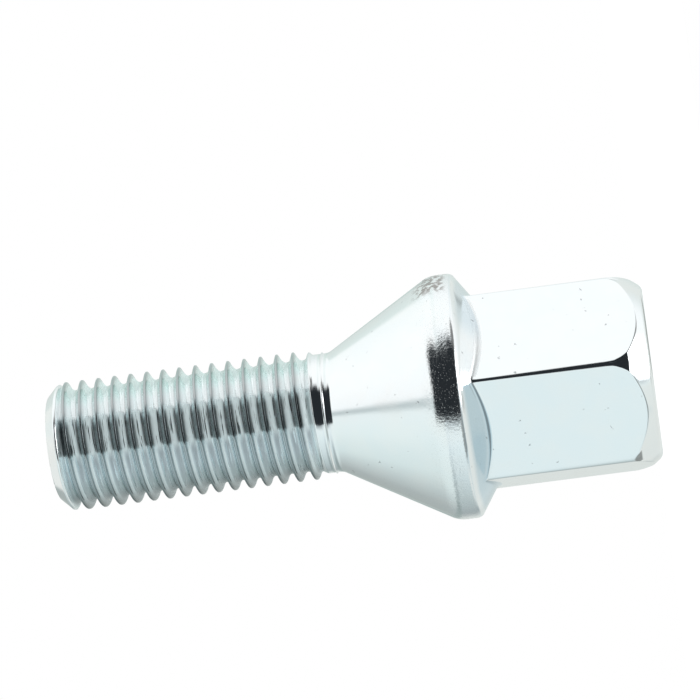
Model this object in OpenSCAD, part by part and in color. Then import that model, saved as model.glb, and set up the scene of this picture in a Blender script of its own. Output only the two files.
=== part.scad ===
// Wheel bolt with a 60 degree taper seat, one forged and thread-rolled piece.
// Lengths in millimetres. The head end lies on Z = 0 and the shank points up.

/* [Head] */
// Size of the hexagon over two opposite flats
head_af = 16.6; // [16:0.1:19]
// Radius of the long edges of the hexagon
head_edge_r = 0.6; // [0.2:0.05:1]
// Distance from the flats in to where the end chamfer would meet the head end
end_step = 0.65; // [0.3:0.05:2]
// Radius that softens the rim between end chamfer and head end
end_edge_r = 0.8; // [0.2:0.1:2]
// Slope of the end chamfer, seen from the flat end
end_slope = 53; // [40:1:60]
// Distance from the long edges in to where the end chamfer stops
trim_step = 0.39; // [0.1:0.01:0.8]
// Height up to which the long edges taper in towards the end chamfer
trim_z = 3.9; // [2.5:0.1:5]

/* [Collar] */
// Height of the collar's back edge over the head end
collar_z = 17; // [14:0.1:20]
// Width of the collar at its widest
collar_d = 22.2; // [21:0.1:25]
// Length of the collar's rim, back edge to cone
rim_l = 1.9; // [1:0.1:4]
// Radius that the rim's back edge is rounded with
back_edge_r = 1; // [0.3:0.05:1.5]
// Slope of the collar's back, seen from the bolt's axis
back_slope = 54; // [45:1:70]

/* [Seat] */
// Full angle of the taper seat
seat_angle = 60; // [58:1:62]
// Radius that blends the seat into the rim
seat_edge_r = 2.7; // [0.5:0.1:4]

/* [Shank] */
// Full length of the bolt
bolt_l = 54.6; // [45:0.1:80]
// Outer diameter of the thread
thread_d = 11.76; // [11.7:0.01:12]
// Length of the plain neck under the thread
neck_l = 1.5; // [0.5:0.1:4]
// Diameter of the plain neck, as wide as the blank before rolling
neck_d = 10.85; // [10.4:0.05:11.2]
// Radius of the hollow where the neck meets the seat
root_r = 0.8; // [0.3:0.1:2]
// Slope of the thread's first and last turn, seen from the axis
run_out = 40; // [20:1:60]
// Diameter of the flat point
point_d = 9.6; // [8.5:0.1:10.4]

/* [Hidden] */
half_seat = seat_angle / 2;
collar_r = collar_d / 2;
neck_r = neck_d / 2;
thread_r = thread_d / 2;
point_r = point_d / 2;
end_r = head_af / 2 - end_step;
// centre of the rounding between end chamfer and head end
end_cr = end_r - end_edge_r * tan(end_slope / 2);
edge_c = head_af / 2 - head_edge_r;
corner_r = edge_c / cos(30) + head_edge_r;
trim_r = corner_r - trim_step;
chamfer_z = (trim_r - end_r) * tan(end_slope);
// the collar's back runs on inside the hexagon to this radius
back_in_r = head_af / 2 - 0.6;
back_in_z = collar_z - (collar_r - back_in_r) / tan(back_slope);
// centre of the rounded back edge
back_cr = collar_r - back_edge_r;
back_cz = collar_z + back_edge_r * tan((90 - back_slope) / 2);
// where the seat would meet the rim, and the centre of the blend between them
seat_z = collar_z + rim_l;
blend_cr = collar_r - seat_edge_r;
blend_cz = seat_z - seat_edge_r * tan(half_seat / 2);
// where the seat meets the neck, and the centre of the hollow between them
neck_z = seat_z + (collar_r - neck_r) / tan(half_seat);
hollow_cr = neck_r + root_r;
hollow_cz = neck_z + root_r * tan(half_seat / 2);
thread_z = neck_z + neck_l;

function arc(cr, cz, r, a0, a1, n) = [
    for (i = [0 : n]) [cr + r * cos(a0 + (a1 - a0) * i / n), cz + r * sin(a0 + (a1 - a0) * i / n)]
];

// outline of the hexagon with its rounded edges
module hexagon() {
    polygon([
        for (k = [0 : 5])
            for (i = [0 : 4])
                let (a = 60 * k - 30 + 15 * i, m = 60 * k)
                    [edge_c / cos(30) * cos(m) + head_edge_r * cos(a),
                     edge_c / cos(30) * sin(m) + head_edge_r * sin(a)]
    ]);
}

// hexagon head, its end turned down by the chamfer
module head() {
    intersection() {
        linear_extrude(height = back_in_z + 0.4)
            hexagon();
        rotate_extrude($fn = 96)
            polygon(concat(
                [[0, 0]],
                arc(end_cr, end_edge_r, end_edge_r, -90, end_slope - 90, 3),
                [
                    [trim_r, chamfer_z],
                    [corner_r, trim_z],
                    [corner_r + 1, trim_z + (trim_z - chamfer_z) / (corner_r - trim_r)],
                    [corner_r + 1, back_in_z + 1],
                    [0, back_in_z + 1]
                ]
            ));
    }
}

// collar, seat, neck, shank and point in one turned outline
module turned() {
    rotate_extrude($fn = 96)
        polygon(concat(
            [[0, back_in_z - 1], [back_in_r, back_in_z - 1], [back_in_r, back_in_z]],
            arc(back_cr, back_cz, back_edge_r, back_slope - 90, 0, 3),
            arc(blend_cr, blend_cz, seat_edge_r, 0, half_seat, 3),
            arc(hollow_cr, hollow_cz, root_r, 180 + half_seat, 180, 3),
            [
                [neck_r, thread_z],
                [thread_r, thread_z + (thread_r - neck_r) / tan(run_out)],
                [thread_r, bolt_l - (thread_r - point_r) / tan(run_out + 5)],
                [point_r, bolt_l],
                [0, bolt_l]
            ]
        ));
}

module wheel_bolt() {
    color([0.80, 0.83, 0.85])
    union() {
        head();
        turned();
    }
}

wheel_bolt();
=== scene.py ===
# %% [markdown]
# # A wheel bolt with a taper seat
# This lesson dresses a packed CAD part: a zinc-plated wheel bolt that stands on its hexagon head.
# The CAD solid has the bolt's sizes and main shapes. Here one new mesh takes its place on screen, with
# what the solid leaves out: the rolled thread, the fillets that catch the light, and the finish.

# %% Open the packed part
import math
from math import cos, pi, radians, sin, tan

import bmesh
import bpy
from mathutils import Matrix, Vector


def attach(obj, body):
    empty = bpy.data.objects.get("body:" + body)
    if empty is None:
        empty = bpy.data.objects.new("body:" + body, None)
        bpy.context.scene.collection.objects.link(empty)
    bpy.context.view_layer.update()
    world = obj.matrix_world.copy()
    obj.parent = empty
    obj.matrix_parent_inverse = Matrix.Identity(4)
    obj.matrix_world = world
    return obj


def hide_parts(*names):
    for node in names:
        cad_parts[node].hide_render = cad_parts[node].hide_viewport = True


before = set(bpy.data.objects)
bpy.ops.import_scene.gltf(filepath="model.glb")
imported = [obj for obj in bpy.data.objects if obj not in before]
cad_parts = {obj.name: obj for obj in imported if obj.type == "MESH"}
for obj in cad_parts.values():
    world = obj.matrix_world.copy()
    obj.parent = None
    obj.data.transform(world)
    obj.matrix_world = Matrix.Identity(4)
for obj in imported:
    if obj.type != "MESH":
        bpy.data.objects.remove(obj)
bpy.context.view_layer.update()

MM = 0.001

# %% [markdown]
# ## The camera
# The photograph shows the bolt lying on its side, shot from about 30 cm with a long lens. In the part's
# own frame the bolt stands upright, so the camera is turned on its side instead: its "right" points
# almost straight down the bolt. The three directions below were fitted to the bolt's outline.

# %% Place the camera
LENS_MM, SENSOR_MM = 168.2, 36.0
CAMERA_AT = Vector((0.29287, -0.03507, 0.00024))
camera_right = Vector((-0.10592, -0.11669, -0.98750)).normalized()
camera_up = Vector((0.12437, 0.98374, -0.12959))
camera_up = (camera_up - camera_right * camera_up.dot(camera_right)).normalized()
camera_back = camera_right.cross(camera_up)

camera_data = bpy.data.cameras.new("photo_camera")
camera_data.sensor_width = SENSOR_MM
camera_data.lens = LENS_MM
camera_data.clip_start = 0.01
camera = bpy.data.objects.new("photo_camera", camera_data)
turn = Matrix((camera_right, camera_up, camera_back)).transposed()
camera.matrix_world = Matrix.Translation(CAMERA_AT) @ turn.to_4x4()
bpy.context.collection.objects.link(camera)
bpy.context.scene.camera = camera
print("camera looks along", [round(-v, 3) for v in camera_back])

# %% [markdown]
# ## A bench for nodes
# Shader maths reads best as Python. A `Wire` wraps one output socket, and +, -, * and / on it add Math
# nodes. Every other node comes from `Bench.node`, which takes its type, its settings and its inputs.

# %% Wires and the bench
class Wire:
    """One output socket, on which Python's operators add Math nodes."""

    def __init__(self, bench, socket):
        self.bench, self.socket = bench, socket

    def _maths(self, operation, left, right):
        settings, inputs = {"operation": operation}, {0: left, 1: right}
        return self.bench.node("ShaderNodeMath", settings, inputs)

    def __add__(self, other):
        return self._maths("ADD", self, other)

    def __radd__(self, other):
        return self._maths("ADD", other, self)

    def __sub__(self, other):
        return self._maths("SUBTRACT", self, other)

    def __rsub__(self, other):
        return self._maths("SUBTRACT", other, self)

    def __mul__(self, other):
        return self._maths("MULTIPLY", self, other)

    def __rmul__(self, other):
        return self._maths("MULTIPLY", other, self)

    def __truediv__(self, other):
        return self._maths("DIVIDE", self, other)

    def __rtruediv__(self, other):
        return self._maths("DIVIDE", other, self)


class Bench:
    """A node tree that is emptied and then filled node by node."""

    def __init__(self, tree):
        self.tree = tree
        tree.nodes.clear()

    def node(self, kind, settings=None, inputs=None, out=0):
        """A new node: the Wire of one of its outputs, or the node itself where it has none."""
        made = self.tree.nodes.new(kind)
        for name, value in (settings or {}).items():
            if name == "stops":
                self._stops(made.color_ramp, value)
            else:
                setattr(made, name, value)
        for name, value in (inputs or {}).items():
            if isinstance(value, Wire):
                self.tree.links.new(value.socket, made.inputs[name])
            else:
                made.inputs[name].default_value = value
        return Wire(self, made.outputs[out]) if len(made.outputs) else made

    def _stops(self, ramp, stops):
        while len(ramp.elements) > 1:
            ramp.elements.remove(ramp.elements[-1])
        for i, (at, colour) in enumerate(stops):
            stop = ramp.elements[0] if i == 0 else ramp.elements.new(at)
            stop.position = at
            stop.color = (*colour, 1)

    def ease(self, value, lo, hi):
        """0 below lo, 1 above hi and smooth between them."""
        settings = {"interpolation_type": "SMOOTHSTEP"}
        return self.node("ShaderNodeMapRange", settings, {0: value, 1: lo, 2: hi, 3: 0.0, 4: 1.0})

    def window(self, value, start, end):
        """1 between two soft borders, each given as a pair of values."""
        return self.ease(value, *start) * (1 - self.ease(value, *end))

    def blend(self, share, a, b):
        """Colour a where share is 0 and colour b where it is 1."""
        a, b = [(*c, 1) if isinstance(c, tuple) and len(c) == 3 else c for c in (a, b)]
        return self.node("ShaderNodeMix", {"data_type": "RGBA"}, {0: share, 6: a, 7: b}, out=2)

    def dot(self, vector, direction):
        """How far a vector reaches along a direction, as a number."""
        settings = {"operation": "DOT_PRODUCT"}
        return self.node("ShaderNodeVectorMath", settings, {0: vector, 1: tuple(direction)}, out=1)


print("a bench makes:", [name for name in vars(Bench) if not name.startswith("_")])

# %% [markdown]
# ## The studio
# Bright zinc shows little colour of its own: nearly all that the eye sees on it is the room. Small metal
# parts are often photographed in a white tent over a pale table, where the one dark thing is the opening
# with the camera. That opening gives the black bars on the neck, the collar and the edges.
# A world that changes with direction does this without any lamp. For camera rays it is plain white.
# The colours and their borders were set by comparing renders with the photograph. They give
# this picture, and aren't a plan of the real room.
# Camera rays see white, but the zinc sees the tent: a bolt that mirrored plain white would lose its bars.

# %% Colours round the bolt
CEILING = Vector((0.13710, 0.99056, 0.0))
TO_CAMERA = Vector((0.99056, -0.13710, 0.0))
# what stands round the bolt's axis: degrees from the ceiling over the camera and the table to the back
TENT = [
    (0, (1.06, 1.09, 1.10)),
    (102, (1.02, 1.06, 1.08)),
    (112, (0.50, 0.56, 0.58)),
    (115, (0.52, 0.58, 0.60)),
    (120, (0.86, 0.95, 0.96)),
    (135, (0.80, 0.91, 0.93)),
    (165, (0.69, 0.79, 0.81)),
    (195, (0.52, 0.61, 0.62)),
    (232, (0.36, 0.41, 0.42)),
    (250, (0.72, 0.76, 0.74)),
    (280, (0.72, 0.79, 0.77)),
    (310, (0.84, 0.90, 0.90)),
    (335, (1.02, 1.05, 1.06)),
    (359, (1.06, 1.09, 1.10)),
]
# the same for what stands just past the bolt's point, which the thread's crests and roots mirror
LEDGE = [
    (0, (0.98, 1.04, 1.04)),
    (112, (0.62, 0.70, 0.73)),
    (120, (0.80, 0.90, 0.94)),
    (134, (0.72, 0.82, 0.86)),
    (160, (0.46, 0.54, 0.56)),
    (190, (0.34, 0.41, 0.42)),
    (215, (0.30, 0.36, 0.36)),
    (250, (0.36, 0.43, 0.42)),
    (280, (0.58, 0.68, 0.66)),
    (310, (0.72, 0.83, 0.80)),
    (340, (0.95, 1.02, 1.02)),
    (359, (0.98, 1.04, 1.04)),
]
# and the same for what stands further towards the point, which the seat's cone mirrors: its colours at
# 145, 188 and 212 degrees were worked out from the brightness of three places on the cone
FAR = [
    (0, (1.06, 1.09, 1.10)),
    (81, (1.03, 1.06, 1.07)),
    (92, (0.54, 0.61, 0.62)),
    (94.5, (0.54, 0.61, 0.62)),
    (104.5, (0.88, 0.955, 0.96)),
    (145, (0.82, 0.92, 0.925)),
    (188, (0.715, 0.82, 0.82)),
    (212, (0.54, 0.61, 0.61)),
    (230, (0.42, 0.47, 0.47)),
    (252, (0.40, 0.45, 0.44)),
    (275, (0.66, 0.72, 0.70)),
    (312, (0.77, 0.86, 0.84)),
    (318, (1.00, 1.05, 1.05)),
    (359, (1.06, 1.09, 1.10)),
]
OPENING, SEAM = (0.020, 0.024, 0.028), (0.05, 0.05, 0.045)
TABLE_FOOT, END_WALL = (0.82, 0.86, 0.84), (0.90, 0.92, 0.90)
SOFT_BOX = (5.0, 5.10, 5.15)
print("stops in the three belts:", len(TENT), len(LEDGE), len(FAR))

# %% [markdown]
# ## Directions in the tent
# Two angles in degrees name a direction. Its bearing turns round the bolt's axis, from the ceiling (0)
# over the camera (90) and the table (180) to the back (270). Its rise is -90 straight behind the head, 0
# across the bolt and 90 straight past the point.

# %% Bearings and rises
world = bpy.data.worlds.new("tent")
bpy.context.scene.world = world
world.use_nodes = True
sky = Bench(world.node_tree)
look = sky.node("ShaderNodeTexCoord")
sides = {0: sky.dot(look, TO_CAMERA), 1: sky.dot(look, CEILING)}
around = sky.node("ShaderNodeMath", {"operation": "ARCTAN2"}, sides) / (2 * pi)
around = sky.node("ShaderNodeMath", {"operation": "FRACT"}, {0: around})
rise = sky.node("ShaderNodeMath", {"operation": "ARCSINE"}, {0: sky.dot(look, (0, 0, 1))})


def belt(stops):
    """Colour over the bearing."""
    return sky.node("ShaderNodeValToRGB", {"stops": [(a / 360, c) for a, c in stops]}, {0: around})


def bearings(start, end):
    """1 between two soft borders, each given as a pair of bearings."""
    return sky.window(around, [a / 360 for a in start], [a / 360 for a in end])


def above(lo, hi):
    """0 under the rise lo, 1 over the rise hi and smooth between them."""
    return sky.ease(rise, radians(lo), radians(hi))


def below(lo, hi):
    return 1 - above(lo, hi)


print("the ceiling lies", round(math.degrees(math.atan2(CEILING.x, CEILING.y)), 1), "degrees off +Y")

# %% [markdown]
# ## Paint the tent
# Three belts follow each other from the head to the point: the tent round the bolt, a ledge just past the
# point, and the far end that the seat's cone mirrors. Paler and darker places are laid over them. The
# pairs of numbers below are soft borders, in degrees: they come from the direction that each face of the
# bolt mirrors and were then adjusted by trial.

# %% Belts, pale places and soft box
room = sky.blend(above(5.4, 8) * below(11, 15), belt(TENT), belt(LEDGE))
room = sky.blend(above(11, 15), room, belt(FAR))
# behind the head the table is paler
low_foot = below(-24, -12) * sky.ease(around, 160 / 360, 182 / 360)
foot = sky.node("ShaderNodeMath", {"operation": "MAXIMUM"}, {0: low_foot, 1: below(-64, -58)})
room = sky.blend(bearings((116, 130), (300, 330)) * foot * 0.9, room, TABLE_FOOT)
# and so is the wall past the point, low down
room = sky.blend(bearings((212, 218), (300, 325)) * above(41, 49) * 0.9, room, END_WALL)
# a small soft box behind the head, which whitens the middle of the end chamfer's ring
BOX_BEARING, BOX_RISE, BOX_R, BOX_BORDER = radians(50), radians(-70), 15, 4
box_at = (CEILING * cos(BOX_BEARING) + TO_CAMERA * sin(BOX_BEARING)) * cos(BOX_RISE)
box_at.z = sin(BOX_RISE)
box_from, box_full = cos(radians(BOX_R + BOX_BORDER)), cos(radians(BOX_R - BOX_BORDER))
room = sky.blend(sky.ease(sky.dot(look, box_at), box_from, box_full), room, SOFT_BOX)
print("the soft box stands towards", [round(v, 2) for v in box_at])

# %% Seams and opening
# three short seams of the tent behind the head, two of them in line with flats, and a dark end behind it
seam = above(-60, -52) * below(-32, -24)
over_flat, low_flat = bearings((0, 6), (30, 40)), bearings((112, 118), (152, 164))
rim_line = bearings((266, 272), (290, 297))
shade = seam * (over_flat * 0.8 + low_flat * 0.65 + rim_line * 0.6) + below(-85, -80) * 0.3
room = sky.blend(shade, room, SEAM)
# the opening is a little wider below and above the ledge
MORE_OVER, MORE_UNDER = 9 / 360, 1 / 360
wider = below(4, 5.2) + above(12, 30)
opening = sky.ease(around + wider * MORE_OVER, 32 / 360, 46 / 360)
opening = opening * (1 - sky.ease(around - wider * MORE_UNDER, 108.5 / 360, 112 / 360))
tall = below(43, 50) * above(-52, -45)
room = sky.blend(opening * (tall + above(67, 71)), room, OPENING)
camera_ray = sky.node("ShaderNodeLightPath")
shown = sky.blend(camera_ray, room, (1.0, 1.0, 1.0))
background = sky.node("ShaderNodeBackground", None, {"Color": shown, "Strength": 1.0})
sky.node("ShaderNodeOutputWorld", None, {"Surface": background})
print("nodes in the tent:", len(world.node_tree.nodes))

# %% [markdown]
# ## The floor
# The floor is a plain white sheet under the head. Most of its light is its own, so that it is as white
# as the background, and the rest is a diffuse share that the bolt's shadow can darken. The zinc doesn't
# mirror it: the tent's lower half is the table that the zinc sees.

# %% Lay the floor
FLOOR_HALF, PAPER_GREY, PAPER_GLOW = 3.0, 0.34, 0.82
floor_mesh = bpy.data.meshes.new("floor")
bm = bmesh.new()
bmesh.ops.create_grid(bm, x_segments=1, y_segments=1, size=FLOOR_HALF)
bm.to_mesh(floor_mesh)
bm.free()
floor = bpy.data.objects.new("floor", floor_mesh)
bpy.context.collection.objects.link(floor)
floor.visible_glossy = False

paper = bpy.data.materials.new("white_paper")
paper.use_nodes = True
sheet = Bench(paper.node_tree)
matt = sheet.node("ShaderNodeBsdfDiffuse", None, {"Color": (PAPER_GREY, PAPER_GREY, PAPER_GREY, 1)})
glow = sheet.node("ShaderNodeEmission", None, {"Color": (1, 1, 1, 1), "Strength": PAPER_GLOW})
both = sheet.node("ShaderNodeAddShader", None, {0: matt, 1: glow})
sheet.node("ShaderNodeOutputMaterial", None, {"Surface": both})
floor_mesh.materials.append(paper)
print("floor, metres across:", 2 * FLOOR_HALF)

# %% [markdown]
# ## The bolt's sizes
# These are the CAD source's sizes, in millimetres: the scene can't read that file, so it repeats them.
# All shaping below is done in millimetres, and the finished mesh is scaled to metres once.

# %% Sizes from the CAD source
FLAT_R, EDGE_R = 8.3, 0.6
END_R, END_EDGE_R, END_SLOPE, TRIM_STEP = 7.65, 0.8, radians(53), 0.39
COLLAR_Z, COLLAR_R, RIM_L, BACK_EDGE_R, BACK_SLOPE = 17.0, 11.1, 1.9, 1.0, radians(54)
HALF_SEAT, SEAT_EDGE_R = radians(30), 2.7
NECK_R, THREAD_R, POINT_R, ROOT_R, BOLT_L = 5.425, 5.88, 4.8, 0.8, 54.6

EDGE_C = (FLAT_R - EDGE_R) / cos(radians(30))
CORNER_R = EDGE_C + EDGE_R
TRIM_R = CORNER_R - TRIM_STEP
CHAMFER_Z = (TRIM_R - END_R) * tan(END_SLOPE)
SEAT_Z = COLLAR_Z + RIM_L
NECK_Z = SEAT_Z + (COLLAR_R - NECK_R) / tan(HALF_SEAT)
print("long edges at radius", round(CORNER_R, 3), "neck starts at height", round(NECK_Z, 3))

# %% [markdown]
# ## Columns round the bolt
# Turned parts are spun in equal steps, but a hexagon needs its columns where its narrow rounded edges
# are. So each 60 degrees has 32 columns that crowd towards the long edges, and the thread has 192 equal
# ones. On the seat's cone the columns slide from the first spacing to the second, where that doesn't show.

# %% Column angles
COLUMNS = 192
PER_FLAT = COLUMNS // 6
# steps on half a flat: on the rounded edge, on the trimmed stretch beside it and on to the middle
ARC_STEPS, TRIM_STEPS, WALL_STEPS = 4, 3, 9
arc_end = math.degrees(math.atan2(EDGE_R * sin(radians(30)), EDGE_C + EDGE_R * cos(radians(30))))
trim_end = 30 - math.degrees(math.acos(FLAT_R / TRIM_R))
half_flat = [arc_end * i / ARC_STEPS for i in range(ARC_STEPS)]
half_flat += [arc_end + (trim_end - arc_end) * i / TRIM_STEPS for i in range(TRIM_STEPS)]
half_flat += [trim_end + (30 - trim_end) * i / WALL_STEPS for i in range(WALL_STEPS + 1)]


def crowded(column):
    """Angle of a column, in degrees, with the columns crowded at the long edges."""
    side, i = divmod(column, PER_FLAT)
    near = half_flat[i] if i <= PER_FLAT // 2 else 60 - half_flat[PER_FLAT - i]
    return 60 * side + near


def even(column):
    return 360 * column / COLUMNS


def hexagon_r(angle, edge_r=EDGE_R):
    """Radius of the hexagon in a direction given in degrees, its long edges rounded by edge_r."""
    off = abs((angle + 30) % 60 - 30)
    centre = (FLAT_R - edge_r) / cos(radians(30))
    if off >= math.degrees(math.atan2(edge_r / 2, centre + edge_r * cos(radians(30)))):
        return FLAT_R / cos(radians(30 - off))
    across = centre * sin(radians(off))
    return centre * cos(radians(off)) + math.sqrt(edge_r**2 - across**2)


print("edge arc ends at", round(arc_end, 2), "degrees, trimmed part at", round(trim_end, 2))

# %% [markdown]
# ## The outline of the head and seat
# Every column has the same list of (radius, height) points, from the middle of the head end up to the
# neck. On a flat the end chamfer meets the wall low down, and at a long edge it meets it higher up, so
# the same row of points draws the curved line that a chamfered hexagon is known by.
# A `fillet` rounds a corner with a short curve whose ends touch both straight parts.

# %% Outline of one column
# how far each fillet reaches along the two lines that it joins, and its steps
CHAMFER_SOFT, TRIM_SOFT, BACK_FILLET = 0.12, 0.10, 0.5
SOFT_STEPS, BACK_STEPS = 4, 6
# steps of the arcs and of the seat's cone
END_STEPS, BACK_EDGE_STEPS, SEAT_EDGE_STEPS, SEAT_STEPS, HOLLOW_STEPS = 6, 6, 10, 16, 6
# radii of the rings on the head's flat end
END_RINGS = [0.0, 2.5, 5.0]
# the long edges are sharper towards the collar
BACK_EDGE_SHARP = 0.32
# height up to which each long edge is trimmed: the first was read off the photograph, the others guessed
TRIM_TOP = [3.9, 3.2, 2.9, 3.3, 2.8, 2.6]
# height on the neck and how far it swells there: a faint ridge runs round its middle
NECK = [(29.06, -0.010), (29.22, -0.010), (29.27, 0.0), (29.35, 0.105), (29.36, 0.110), (29.37, 0.105),
        (29.45, 0.0), (29.50, -0.010), (29.75, -0.010), (29.95, 0.0)]


def lerp(a, b, t):
    return (a[0] + (b[0] - a[0]) * t, a[1] + (b[1] - a[1]) * t)


def towards(a, b, length):
    """The point at a length from a on the way to b, or half-way where b is near."""
    gap = math.dist(a, b)
    return lerp(a, b, min(length, gap / 2) / gap) if gap > 1e-6 else a


def fillet(before, corner, after, reach, n):
    """n + 1 points that round a corner, as a quadratic curve from reach before it to reach after it."""
    start, end = towards(corner, before, reach), towards(corner, after, reach)
    return [lerp(lerp(start, corner, i / n), lerp(corner, end, i / n), i / n) for i in range(n + 1)]


def arc(centre_r, centre_z, radius, a0, a1, n):
    turns = [radians(a0 + (a1 - a0) * i / n) for i in range(n + 1)]
    return [(centre_r + radius * cos(a), centre_z + radius * sin(a)) for a in turns]


def between(a, b, shares):
    return [lerp(a, b, t) for t in shares]


def blank_outline(angle):
    """(radius, height) points of the column in that direction, from the head end to the neck."""
    wall_r = hexagon_r(angle)
    end_c = END_R - END_EDGE_R * tan(END_SLOPE / 2)
    rim = arc(end_c, END_EDGE_R, END_EDGE_R, -90, math.degrees(END_SLOPE) - 90, END_STEPS)
    trim = (min(wall_r, TRIM_R), (min(wall_r, TRIM_R) - END_R) * tan(END_SLOPE))
    share = max(0.0, wall_r - TRIM_R) / (CORNER_R - TRIM_R)
    top = TRIM_TOP[round(angle / 60) % 6] - CHAMFER_Z
    meet = (wall_r, trim[1] + (top * (1 - math.sqrt(1 - min(1.0, share))) if share > 0 else 0))
    back_r = hexagon_r(angle, BACK_EDGE_SHARP)
    back = (back_r, COLLAR_Z - (COLLAR_R - back_r) / tan(BACK_SLOPE))
    back_c = (COLLAR_R - BACK_EDGE_R, COLLAR_Z + BACK_EDGE_R * tan((pi / 2 - BACK_SLOPE) / 2))
    back_edge = arc(*back_c, BACK_EDGE_R, math.degrees(BACK_SLOPE) - 90, 0, BACK_EDGE_STEPS)
    seat_c = (COLLAR_R - SEAT_EDGE_R, SEAT_Z - SEAT_EDGE_R * tan(HALF_SEAT / 2))
    seat_edge = arc(*seat_c, SEAT_EDGE_R, 0, math.degrees(HALF_SEAT), SEAT_EDGE_STEPS)
    hollow_c = (NECK_R + ROOT_R, NECK_Z + ROOT_R * tan(HALF_SEAT / 2))
    hollow = arc(*hollow_c, ROOT_R, 180 + math.degrees(HALF_SEAT), 180, HOLLOW_STEPS)

    points = [(r, 0.0) for r in END_RINGS]
    points += rim
    points += between(rim[-1], trim, (0.4, 0.8))
    if share > 0:
        points += fillet(rim[-1], trim, meet, TRIM_SOFT, SOFT_STEPS)
        points += fillet(trim, meet, back, TRIM_SOFT, SOFT_STEPS)
    else:
        rounding = fillet(rim[-1], trim, back, CHAMFER_SOFT, SOFT_STEPS)
        points += [rounding[0]] * (SOFT_STEPS + 1) + rounding
    rounding = fillet(meet, back, back_edge[0], BACK_FILLET, BACK_STEPS)
    points += between(points[-1], rounding[0], (0.04, 0.2, 0.4, 0.6, 0.8, 0.96))
    points += rounding
    points += between(rounding[-1], back_edge[0], (0.33, 0.66))
    points += back_edge
    points += between(back_edge[-1], seat_edge[0], (0.33, 0.66))
    points += seat_edge
    points += between(seat_edge[-1], hollow[0], [i / SEAT_STEPS for i in range(1, SEAT_STEPS)])
    points += hollow
    points += [(NECK_R + swell, z) for z, swell in NECK]
    return points


rows = len(blank_outline(0))
# rows of the fillet between the hexagon and the collar's back, without its ends
BACK_FILLET_ROWS = range(29, 34)
# second row of the collar's rounded back edge
BACK_EDGE_ROW = 38
print("rows on a column:", rows, "on an edge,", len(blank_outline(30)), "on a flat")

# %% [markdown]
# ## Spin the head, seat and neck
# `spin` turns a line of vertices round an axis, as a lathe does, and keeps their data layers. The line
# here is a plain one whose vertices carry their row's number. After the spin each vertex knows its row,
# its angle gives its column, and the outline of that column gives its place. The columns slide from
# crowded to even over the rows of the seat's cone.

# %% Head, seat and neck
def profile(bm, points):
    """A line of vertices through (radius, height) points, whose layer "row" counts them."""
    row = bm.verts.layers.int.new("row")
    line = []
    for i, (r, z) in enumerate(points):
        line.append(bm.verts.new((r, 0, z)))
        line[-1][row] = i
    for a, b in zip(line, line[1:]):
        bm.edges.new((a, b))
    return row


def column_of(co):
    """Number of the column that a vertex was spun to, also where its radius is 0."""
    return round(math.degrees(math.atan2(co.y, co.x)) / (360 / COLUMNS)) % COLUMNS


# vertices nearer than this are merged, in millimetres
MERGE = 1e-4
blank = bmesh.new()
row = profile(blank, [(1.0, 0.1 * i) for i in range(rows)])
bmesh.ops.spin(
    blank, geom=blank.verts[:] + blank.edges[:], cent=(0, 0, 0), axis=(0, 0, 1), dvec=(0, 0, 0),
    angle=2 * pi, steps=COLUMNS, use_merge=True,
)
outlines = {}
rows_after_seat = HOLLOW_STEPS + 1 + len(NECK)
SLIDE_FROM, SLIDE_TO = rows - rows_after_seat - (SEAT_STEPS - 1), rows - rows_after_seat - 1
for v in blank.verts:
    column = column_of(v.co)
    share = min(1.0, max(0.0, (v[row] - SLIDE_FROM) / (SLIDE_TO - SLIDE_FROM)))
    start = crowded(column)
    if start not in outlines:
        outlines[start] = blank_outline(start)
    r, z = outlines[start][v[row]]
    angle = radians(start + (even(column) - start) * share)
    v.co = (r * cos(angle), r * sin(angle), z)
before = len(blank.verts)
bmesh.ops.remove_doubles(blank, verts=blank.verts[:], dist=MERGE)
print("blank:", before, "vertices spun,", len(blank.verts), "after merging")

# %% [markdown]
# ## Spin the thread
# A thread is a spin that also rises. One line over all its turns, spun once round while it rises by one
# pitch, ends on its own next turn, so the seam closes when doubles are merged. The crests are narrow and
# the roots are hollow. At the neck the turns ease out of its radius, and the point's chamfer cuts them.

# %% Thread
# pitch, height of the first crest at the angle 0, and radius of the crests
PITCH, CREST_AT, CREST_R = 1.5, 30.138, 5.87
# the thread starts at the first height and has its full depth from the second
THREAD_FROM, FULL_FROM = 29.95, 31.0
# the last turn's groove fills up to the point's chamfer between these heights
FILL_FROM, FILL_TO = 53.1, 53.75
# one turn, from crest to crest towards the point, in millimetres: height over the crest, depth under it,
# how matt the zinc is (frost) and the share of brightness that painted shade leaves it. The flanks that
# face the head are matt.
TURN = [
    (0.00, 0.000, 0.0, 0.55), (0.06, 0.000, 0.0, 0.50), (0.10, 0.040, 0.0, 0.50), (0.15, 0.150, 0.1, 0.65),
    (0.20, 0.280, 0.3, 0.95), (0.26, 0.440, 0.4, 1.00), (0.32, 0.600, 0.2, 0.95), (0.36, 0.690, 0.0, 0.85),
    (0.41, 0.740, 0.0, 0.80), (0.48, 0.775, 0.0, 0.80), (0.57, 0.805, 0.2, 0.85), (0.66, 0.830, 0.7, 0.90),
    (0.78, 0.850, 1.0, 1.00), (0.88, 0.805, 1.0, 1.00), (0.97, 0.735, 1.0, 1.00), (1.06, 0.650, 0.9, 1.00),
    (1.14, 0.550, 0.8, 1.00), (1.22, 0.420, 0.6, 0.95), (1.30, 0.270, 0.3, 0.75), (1.38, 0.100, 0.0, 0.50),
    (1.43, 0.020, 0.0, 0.45), (1.46, 0.000, 0.0, 0.50),
]
one_turn = [(CREST_R - depth, z) for z, depth, frost, unshaded in TURN]
deepest = max(depth for z, depth, frost, unshaded in TURN)
print("points in a turn of the thread:", len(one_turn), "deepest:", deepest)


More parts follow.
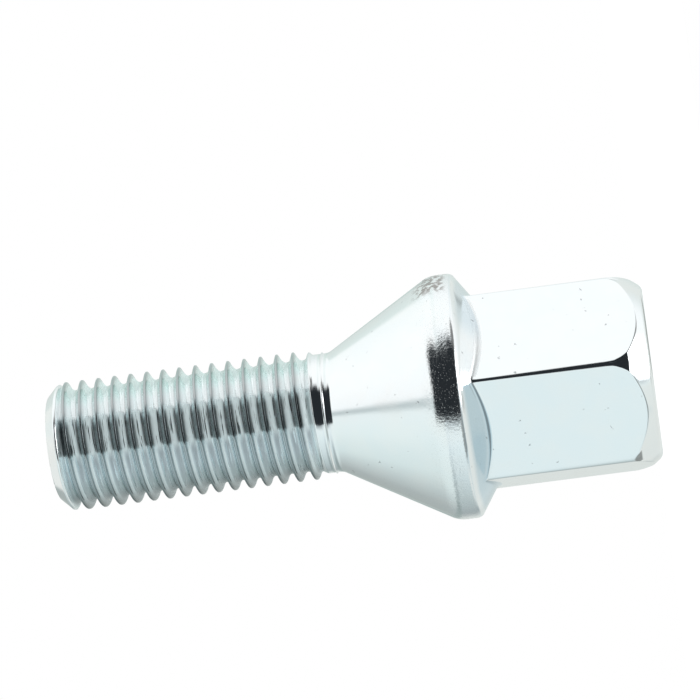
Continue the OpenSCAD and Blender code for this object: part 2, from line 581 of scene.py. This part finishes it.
def point_r(z):
    """Greatest radius that the point's chamfer, at 45 degrees, leaves at a height."""
    return min(THREAD_R, POINT_R + BOLT_L - z)


def smooth_share(z, lo, hi):
    """0 below lo, 1 above hi and smooth between them."""
    share = min(1.0, max(0.0, (z - lo) / (hi - lo)))
    return share * share * (3 - 2 * share)


# the thread's rows are numbered from here, and its line runs from the first turn to before the last
THREAD_ROWS = 1000
FIRST_TURN, END_TURN = -2, 17
threaded = bmesh.new()
line = [(r, CREST_AT + PITCH * k + z) for k in range(FIRST_TURN, END_TURN) for r, z in one_turn]
thread_row = profile(threaded, line)
for v in threaded.verts:
    v[thread_row] += THREAD_ROWS
bmesh.ops.spin(
    threaded, geom=threaded.verts[:] + threaded.edges[:], cent=(0, 0, 0), axis=(0, 0, 1),
    dvec=(0, 0, PITCH / COLUMNS), angle=2 * pi, steps=COLUMNS, use_merge=False,
)
bmesh.ops.remove_doubles(threaded, verts=threaded.verts[:], dist=MERGE)
for v in threaded.verts:
    angle, r = math.atan2(v.co.y, v.co.x), math.hypot(v.co.x, v.co.y)
    z = min(BOLT_L, max(THREAD_FROM, v.co.z))
    r = min(NECK_R + (r - NECK_R) * smooth_share(z, THREAD_FROM, FULL_FROM), point_r(z))
    r += (point_r(z) - r) * smooth_share(z, FILL_FROM, FILL_TO)
    v.co = (r * cos(angle), r * sin(angle), z)
bmesh.ops.remove_doubles(threaded, verts=threaded.verts[:], dist=2 * MERGE)
print("thread:", len(threaded.verts), "vertices from a line of", len(line))

# %% [markdown]
# ## Join the two and close the point
# The neck's last ring and the thread's first have the same places, so merging doubles makes one skin.
# The open ring at the point is extruded inwards, ring by ring, and its last ring is merged in the
# middle.

# %% Join and close
POINT_RINGS = [4.72, 3.2, 1.4, 0.0]
JOIN = 1e-3
carrier = bpy.data.meshes.new("carrier")
threaded.to_mesh(carrier)
threaded.free()
blank.from_mesh(carrier)
bpy.data.meshes.remove(carrier)
bolt = blank
bmesh.ops.remove_doubles(bolt, verts=bolt.verts[:], dist=JOIN)
ring = [e for e in bolt.edges if e.is_boundary]
print("open edges at the point:", len(ring))
for ring_r in POINT_RINGS:
    made = bmesh.ops.extrude_edge_only(bolt, edges=ring)["geom"]
    ring = [g for g in made if isinstance(g, bmesh.types.BMEdge)]
    for v in {v for e in ring for v in e.verts}:
        flat = Vector((v.co.x, v.co.y, 0)).normalized() * ring_r
        v.co = (flat.x, flat.y, BOLT_L)
bmesh.ops.remove_doubles(bolt, verts=bolt.verts[:], dist=JOIN)
bmesh.ops.recalc_face_normals(bolt, faces=bolt.faces[:])
bmesh.ops.scale(bolt, vec=(MM, MM, MM), verts=bolt.verts[:])
for f in bolt.faces:
    f.smooth = True
open_edges = sum(not e.is_manifold for e in bolt.edges)
triangles = sum(len(f.verts) - 2 for f in bolt.faces)
print("bolt:", triangles, "triangles,", open_edges, "edges not closed")
print("volume, mm3:", round(bolt.calc_volume() / MM**3))

# %% [markdown]
# ## Frost and painted shade
# The table of one turn also says how matt the zinc is on each row of the thread and how much painted shade
# darkens it there. Two layers on the vertices carry that to the material. The hollow behind the upper flat
# is matt too.

# %% Layers for the material
# share of frost in the hollow, and the angles between which the upper flat lies
HOLLOW_FROST, HOLLOW_FROM, HOLLOW_TO = 0.7, 3, 57
frost_layer = bolt.verts.layers.float.new("frost")
unshaded_layer = bolt.verts.layers.float.new("unshaded")
row = bolt.verts.layers.int["row"]
for v in bolt.verts:
    if v[row] >= THREAD_ROWS:
        v[frost_layer], v[unshaded_layer] = TURN[(v[row] - THREAD_ROWS) % len(TURN)][2:]
    else:
        at_flat = HOLLOW_FROM < math.degrees(math.atan2(v.co.y, v.co.x)) < HOLLOW_TO
        v[frost_layer] = HOLLOW_FROST * (at_flat and v[row] in BACK_FILLET_ROWS)
        v[unshaded_layer] = 1.0
print("frosted vertices:", sum(v[frost_layer] > 0 for v in bolt.verts))

bolt_mesh = bpy.data.meshes.new("zinc_plated_bolt")
bolt.to_mesh(bolt_mesh)
bolt.free()
dressed = bpy.data.objects.new("zinc_plated_bolt", bolt_mesh)
bpy.context.collection.objects.link(dressed)

# %% [markdown]
# ## Keep the flats flat
# Smooth shading averages the normals of neighbouring faces, which would bend the reflections on the
# flats near their narrow rounded edges. A Weighted Normal modifier lets the large face win.

# %% Weighted normals
weighted = dressed.modifiers.new("weighted", "WEIGHTED_NORMAL")
weighted.mode = "FACE_AREA"
weighted.weight = 50
weighted.keep_sharp = False
print("modifiers:", [m.name for m in dressed.modifiers])

# %% [markdown]
# ## Zinc plating
# Bright zinc is a thin metal coat with a faint blue tint. It is nearly a mirror on the turned seat and
# the forged flats, and finely pitted on the collar's rim. The masks below depend on where a spot lies on
# the bolt: its height, its radius, and the side that it is on.

# %% Places on the bolt
zinc = bpy.data.materials.new("zinc_plated_steel")
zinc.use_nodes = True
coat = Bench(zinc.node_tree)
where = coat.node("ShaderNodeTexCoord", out=3)
height = coat.dot(where, (0, 0, 1)) / MM
across = coat.node("ShaderNodeVectorMath", {"operation": "MULTIPLY"}, {0: where, 1: (1, 1, 0)})
radius = coat.node("ShaderNodeVectorMath", {"operation": "LENGTH"}, {0: across}, out=1) / MM
sides = {0: coat.dot(where, (0, 1, 0)), 1: coat.dot(where, (1, 0, 0))}
turned = coat.node("ShaderNodeMath", {"operation": "ARCTAN2"}, sides)


def facing_to(direction):
    """1 on the side of the bolt towards a direction, 0 beside the axis and -1 on the other side."""
    return coat.dot(where, direction) / MM / radius


def at_angle(degrees):
    return Vector((cos(radians(degrees)), sin(radians(degrees)), 0))


def noise(size_mm, detail, rough=0.5):
    """Noise whose lumps have about that size, in millimetres."""
    inputs = {"Vector": where, "Scale": 1 / (size_mm * MM), "Detail": detail, "Roughness": rough}
    return coat.node("ShaderNodeTexNoise", None, inputs)


facing = facing_to(CEILING)
print("nodes for places:", len(zinc.node_tree.nodes))

# %% [markdown]
# ## Marks on the head and collar
# The collar's rim is mottled, with pale specks and a dark rough spot on its upper side. Sparse pits lie
# on the head, the collar and the seat. The corner that the end chamfer cut at the lowest long edge in view
# is darkened as a painted dark reflection.
# The marks lie about where the photograph has them, and noise gives them their shapes.

# %% Marks
SPOT_AT, CORNER_AT = at_angle(66), at_angle(-60)
# how much the painted dark corner narrows in a millimetre of height, and its border, both as a cosine
CORNER_NARROWS, CORNER_BORDER = 0.0044, (0.9968, 0.9978)
cloud = coat.ease(noise(2.2, 3.0), 0.35, 0.7)
band = coat.window(height, (COLLAR_Z - 0.3, COLLAR_Z + 0.2), (19.2, 20.4))
mottle = coat.ease(noise(0.16, 2.0), 0.45, 0.75)
specks = band * coat.ease(noise(0.13, 1.0), 0.66, 0.70)
pits = coat.ease(noise(0.55, 3.0, 0.6), 0.70, 0.74) * (1 - coat.ease(height, 28.0, 28.5))
spot = coat.ease(facing_to(SPOT_AT), 0.955, 0.985) * coat.window(height, (17.1, 17.7), (19.4, 20.6))
spot = spot * coat.ease(noise(0.45, 3.0), 0.42, 0.56)
# the painted dark reflection at the corner of the end chamfer
corner = facing_to(CORNER_AT) - (height - CHAMFER_Z) * CORNER_NARROWS
corner = coat.ease(corner, *CORNER_BORDER) * coat.ease(height, CHAMFER_Z - 0.15, CHAMFER_Z)
print("nodes with the marks:", len(zinc.node_tree.nodes))

# %% [markdown]
# ## Light and shade in the coat
# The tent can't give all that the real bolt mirrored. These masks mark where the photograph is duller,
# greener, bluer or darker than the tent makes it: they match that picture and aren't known properties of
# zinc. They are laid over object coordinates, so they stay on the bolt in every view.
# Streaks follow the thread: the lead of a spot is its height less the rise of the thread up to its angle.

# %% Thread's masks
# width of the streaks in millimetres, and how many follow each other in a radian
STREAK_MM, STREAKS_A_RADIAN = 0.14, 1.8
lead = height - turned * (PITCH / (2 * pi))
along = {0: radius / STREAK_MM, 1: lead / STREAK_MM, 2: turned * STREAKS_A_RADIAN}
along = coat.node("ShaderNodeCombineXYZ", None, along)
wavy = coat.node("ShaderNodeTexNoise", None, {"Vector": along, "Scale": 1.0, "Detail": 2.0})
frost = coat.node("ShaderNodeAttribute", {"attribute_name": "frost"}, out=2)
# the share of brightness that painted shade leaves on each row of the thread
unshaded = coat.node("ShaderNodeAttribute", {"attribute_name": "unshaded"}, out=2)
full = coat.window(height, (30.3, FULL_FROM), (FILL_FROM, 53.6))
hollow = frost * (1 - coat.ease(height, 27.0, 28.0))
# smoother zones on the two upper sides, which the tints also leave paler as painted light, and a matt line
# on the flanks of the underside
smooth = coat.window(facing, (0.44, 0.54), (0.78, 0.92))
# the thread's underside, which the tints below darken as painted shade
under = full * (1 - coat.ease(facing, -0.32, -0.12))
matt_line = under * coat.window(radius, (5.28, 5.38), (5.62, 5.74))
flank = frost * full * (1 - 0.85 * coat.ease(wavy, 0.57, 0.63)) * (1 - 0.75 * smooth)
flank = flank + matt_line * (1 - flank) * 0.9
# a painted greenish reflection on the thread's upper side
over = full * coat.ease(facing, 0.70, 0.92)
# painted shade in the roots on the thread's underside
painted_root_shade = under * flank * (1 - coat.ease(radius, 5.12, 5.38))
# a painted dark reflection: a near-black band on the thread's bright zinc, on the sides about a right
# angle from the ceiling
painted_dark_band = full * (1 - flank) * coat.window(facing, (-0.17, -0.12), (0.30, 0.42))
# painted shade on the lowest side of the thread, darkest on its lowest teeth
painted_low_shade = full * (1 - coat.ease(facing, -0.90, -0.50)) * (1 - 0.5 * matt_line)
painted_bottom_shade = full * (1 - coat.ease(facing, -0.98, -0.82))
print("nodes with the thread:", len(zinc.node_tree.nodes))

# %% Collar's back
# painted bluish shade there, low down and in a patch at the top
back_foot, back_top = blank_outline(30)[BACK_FILLET_ROWS[0]], blank_outline(30)[BACK_EDGE_ROW]
back_rise = (back_top[1] - back_foot[1]) / (back_top[0] - back_foot[0])
over_foot = height - back_foot[1] - (radius - back_foot[0]) * back_rise
behind = coat.ease(over_foot, -0.02, 0.08) * (1 - coat.ease(height, 16.8, 17.0))
low_back, top_back = 1 - coat.ease(facing, 0.10, 0.14), coat.ease(facing, 0.50, 0.75)
print("collar's back from", [round(v, 2) for v in back_foot], "to", [round(v, 2) for v in back_top])

# %% Tints
tint = coat.blend(cloud, (0.905, 0.930, 0.935), (0.930, 0.940, 0.935))
# the masks and their colours, each laid over the ones before it
TINTS = [
    # the thread's greener, darker tint, left off the two upper sides: painted light there
    (full * (1 - 0.8 * smooth), (0.84, 0.95, 0.97)),
    (flank, (0.88, 0.99, 1.00)),
    # painted shade: the thread's underside darker and bluer
    (under * (1 - matt_line) * 0.8, (0.74, 0.84, 0.88)),
    # painted shade in the underside's roots
    (painted_root_shade * 0.7, (0.36, 0.42, 0.45)),
    # painted shade on the thread's lowest side and its lowest teeth
    (painted_low_shade * 0.8, (0.42, 0.50, 0.50)),
    (painted_bottom_shade * 0.7, (0.26, 0.29, 0.29)),
    # painted greenish reflection on the upper side
    (over * 0.8, (0.80, 0.94, 0.91)),
    # painted dark reflection on the thread's sides
    (painted_dark_band * 0.6, (0.02, 0.024, 0.026)),
    # painted shade on the crests and in the roots of the thread
    (full * (1 - unshaded), (0.02, 0.022, 0.024)),
    # painted bluish shade on the collar's back
    (behind * (low_back + top_back * 0.6), (0.62, 0.73, 0.79)),
    (spot * 0.85, (0.30, 0.27, 0.25)),
    (pits * 0.6, (0.25, 0.27, 0.28)),
    # painted dark reflection at the chamfer's corner
    (corner * 0.75, (0.12, 0.13, 0.13)),
]
for mask, colour in TINTS:
    tint = coat.blend(mask, tint, colour)
print("tints over the plain zinc:", len(TINTS))

# %% [markdown]
# ## The coat's shader
# Frost is less metallic and rougher than the bright coat. A shallow bump gives the fine relief, which is
# strongest on the collar's rim.

# %% Shader
BUMP_STRENGTH, BUMP_MM = 0.35, 0.03
matt = flank * 0.95 + hollow * 0.6 + spot * 0.4 + specks * 0.3
rough = 0.10 + 0.05 * cloud + band * mottle * 0.15 + (flank + hollow) * 0.28 + spot * 0.2 + pits * 0.15
relief = noise(0.22, 3.0) * (0.15 + band * 1.2) + noise(0.9, 2.0) * 0.10
bump = {"Strength": BUMP_STRENGTH, "Distance": BUMP_MM * MM, "Height": relief}
bump = coat.node("ShaderNodeBump", None, bump)
skin = coat.node(
    "ShaderNodeBsdfPrincipled", None,
    {"Base Color": tint, "Metallic": 1 - matt, "Roughness": rough, "Normal": bump},
)
coat.node("ShaderNodeOutputMaterial", None, {"Surface": skin})
bolt_mesh.materials.append(zinc)
print("nodes in the zinc:", len(zinc.node_tree.nodes))

# %% [markdown]
# ## Hand the bolt over
# The dressed bolt rides on the part's one body and replaces its one CAD solid.

# %% Ride, replace and finish
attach(dressed, "root")
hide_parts("wheel_bolt")

bpy.context.scene.view_settings.view_transform = "Standard"
